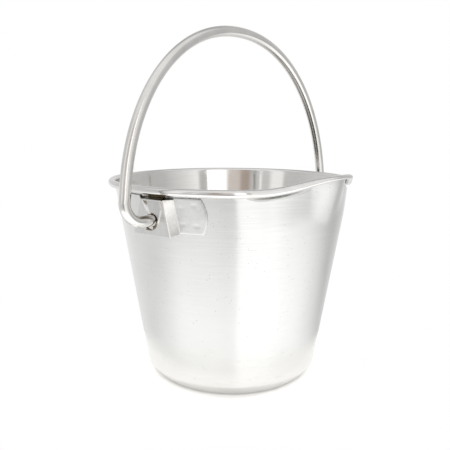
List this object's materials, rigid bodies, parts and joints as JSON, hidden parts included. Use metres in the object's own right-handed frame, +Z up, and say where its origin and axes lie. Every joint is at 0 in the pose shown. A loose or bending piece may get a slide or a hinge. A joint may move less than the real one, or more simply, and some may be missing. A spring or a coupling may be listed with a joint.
{
  "type": "milking pail",
  "caption": "Tapered stainless steel milking pail with a rolled rim, a raised pouring lip, bent sheet ears and a swinging round-rod bail.",
  "frame": {"origin": "on the floor, under the middle of the object's box; the pail's own axis is 4 mm behind it and the bail's axis 11.5 mm ahead", "axes": "+Z up, +X towards the pouring lip, Y along the bail's axis"},
  "size_m": [0.288, 0.3518, 0.3888],
  "materials": {
    "brushed_stainless": "satin brushed round the pail, polished inside",
    "ear_stainless": "dull brushed sheet with bright bends",
    "polished_stainless": "polished bar with fine drawing lines",
    "drawn_wire": "plain drawn wire"
  },
  "bodies": {
    "pail": {"pail_body": "brushed_stainless", "rim_wire": "drawn_wire", "ear_right": "ear_stainless", "ear_left": "ear_stainless"},
    "bail": {"bail_handle": "polished_stainless"}
  },
  "joints": [
    {"name": "bail_swing", "type": "hinge", "parent": "pail", "child": "bail", "pos_m": [0.0115, 0, 0.193], "axis": [0, 1, 0], "range_deg": [-135, 151]}
  ]
}
